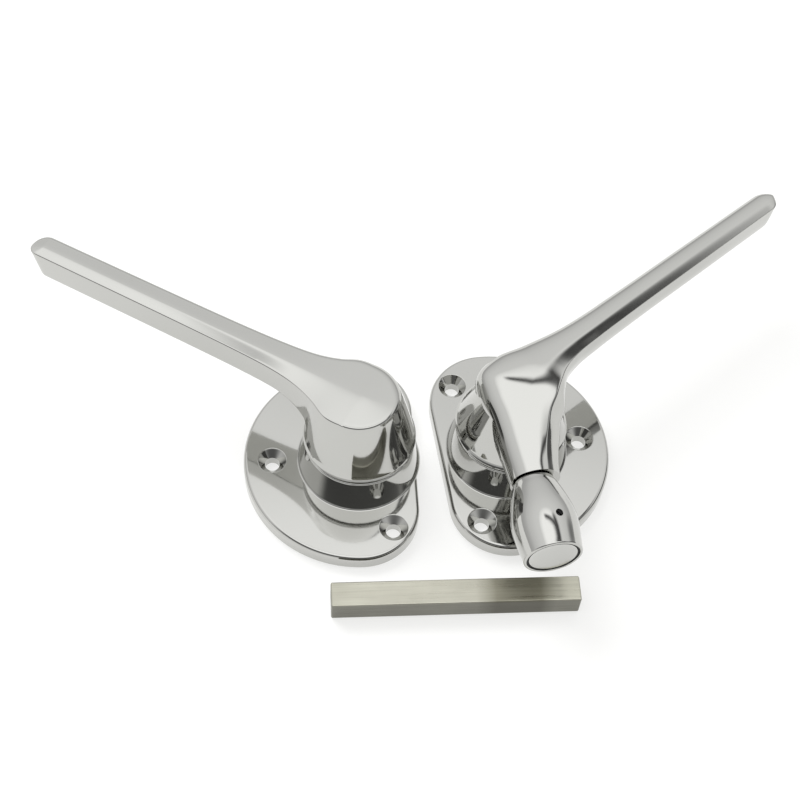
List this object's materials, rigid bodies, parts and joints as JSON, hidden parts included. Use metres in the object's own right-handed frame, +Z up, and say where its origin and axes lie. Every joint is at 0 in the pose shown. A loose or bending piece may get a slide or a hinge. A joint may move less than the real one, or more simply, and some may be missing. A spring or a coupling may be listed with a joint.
{
  "type": "door lever handle",
  "caption": "Lever handle set for a door: outside lever and rose, inside lever and rose with a push-button privacy lock, and a loose square spindle, laid out flat.",
  "frame": {"origin": "on the table (the door face side), on the outside lever's spindle axis", "axes": "+X to the right across the laid-out set, towards the inside lever; +Y away from the viewer; +Z up, out of the door face"},
  "size_m": [0.2328, 0.1465, 0.041],
  "materials": {
    "polished_steel": "mirror-polished stainless steel",
    "brushed_steel": "satin brushed",
    "spring_steel": "bright spring steel",
    "dark_steel": "oiled black",
    "bearing_brass": "machined",
    "nylon": "natural nylon",
    "rubber": "matt"
  },
  "bodies": {
    "roses_and_spindle": {"outside_rose": "polished_steel", "outside_bush": "bearing_brass", "outside_thrust_washer": "nylon", "outside_wave_washer": "spring_steel", "inside_rose": "polished_steel", "inside_bush": "bearing_brass", "inside_thrust_washer": "nylon", "inside_wave_washer": "spring_steel", "inside_lock_sleeve": "bearing_brass", "square_spindle": "brushed_steel"},
    "outside_lever_body": {"outside_lever": "polished_steel", "outside_circlip": "dark_steel", "outside_grub_screw": "dark_steel"},
    "inside_lever_body": {"inside_lever": "polished_steel", "inside_circlip": "dark_steel", "inside_grub_screw": "dark_steel", "lock_barrel": "polished_steel", "lock_barrel_cross_pin": "dark_steel", "lock_button_seal": "rubber", "lock_spring": "spring_steel"},
    "lock_button_body": {"lock_button": "brushed_steel", "lock_pin": "bearing_brass"}
  },
  "joints": [
    {"name": "outside_lever_turn", "type": "hinge", "parent": "roses_and_spindle", "child": "outside_lever_body", "pos_m": [0, 0, 0.02], "axis": [0, 0, 1], "range_deg": [-45, 45]},
    {"name": "inside_lever_turn", "type": "hinge", "parent": "roses_and_spindle", "child": "inside_lever_body", "pos_m": [0.0457, 0.0088, 0.02], "axis": [0, 0, 1], "range_deg": [-45, 45]},
    {"name": "lock_button_press", "type": "slide", "parent": "inside_lever_body", "child": "lock_button_body", "axis": [-0.2672, 0.9636, 0], "range_m": [0, 0.0026], "stiffness_N_per_m": 400, "deforming": ["lock_spring"]}
  ]
}
